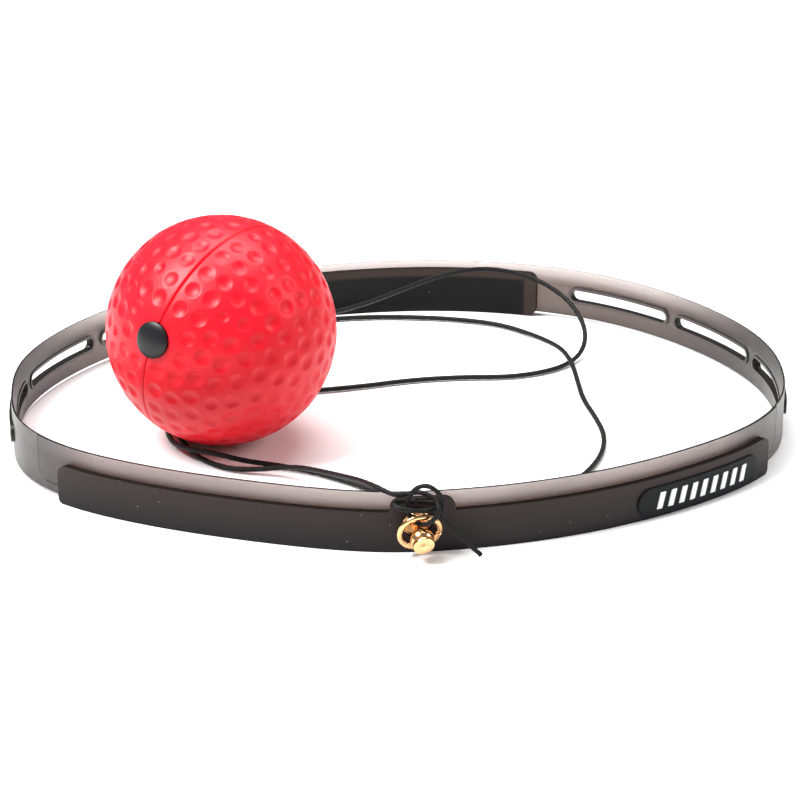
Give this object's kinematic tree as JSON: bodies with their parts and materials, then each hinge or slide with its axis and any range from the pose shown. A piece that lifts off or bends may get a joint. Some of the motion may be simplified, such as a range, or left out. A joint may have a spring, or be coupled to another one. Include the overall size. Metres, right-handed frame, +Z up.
{
  "type": "reflex ball headband",
  "caption": "Soft moulded headband with a foam ball on a long elastic cord, hitched to a ring on a brass stud at the front.",
  "frame": {"origin": "middle of the object's footprint on the floor, without the loose cord", "axes": "+Z up the headband's wall, the front pad and stud face -Y, +X to the right seen from the front"},
  "size_m": [0.2122, 0.1858, 0.062],
  "materials": {
    "smoky_elastomer": "smoky translucent moulded elastomer, satin",
    "dark_elastomer": "thick smoky elastomer, satin",
    "badge_plastic": "black satin",
    "white_print": "white raised print",
    "gold_brass": "polished brass",
    "red_foam": "moulded polyurethane foam skin, satin",
    "black_plastic": "fine satin",
    "braided_cord": "braided sleeve over elastic"
  },
  "bodies": {
    "headband": {"headband_loop": "smoky_elastomer", "front_pad": "dark_elastomer", "front_badge": "badge_plastic", "badge_bars": "white_print", "rear_pad": "dark_elastomer", "rear_plate": "badge_plastic", "stud_flange": "gold_brass", "stud_head": "gold_brass", "stud_screw": "gold_brass", "stud_washer": "gold_brass", "cord_lead": "braided_cord", "tether_cord": "braided_cord", "hitch_bight": "braided_cord", "hitch_wrap": "braided_cord", "cord_tail": "braided_cord"},
    "ring": {"tether_ring": "gold_brass"},
    "cord_end": {"inner_cord": "braided_cord", "stop_washer": "black_plastic", "stop_knot": "braided_cord"},
    "ball": {"ball_foam": "red_foam", "end_cap": "black_plastic", "bore_sleeve": "black_plastic", "exit_eyelet": "black_plastic"}
  },
  "joints": [
    {"name": "ring_swivel", "type": "hinge", "parent": "headband", "child": "ring", "pos_m": [0.00008, -0.08704, 0.0069], "axis": [0.1621, -0.9194, -0.3584], "continuous": true},
    {"name": "ball_lift", "type": "slide", "parent": "headband", "child": "cord_end", "axis": [0, 0, 1], "range_m": [0, 0.25], "deforming": ["cord_lead"]},
    {"name": "ball_spin", "type": "hinge", "parent": "cord_end", "child": "ball", "pos_m": [-0.04825, -0.00768, 0.031], "axis": [0.564, 0.796, -0.22], "continuous": true}
  ]
}
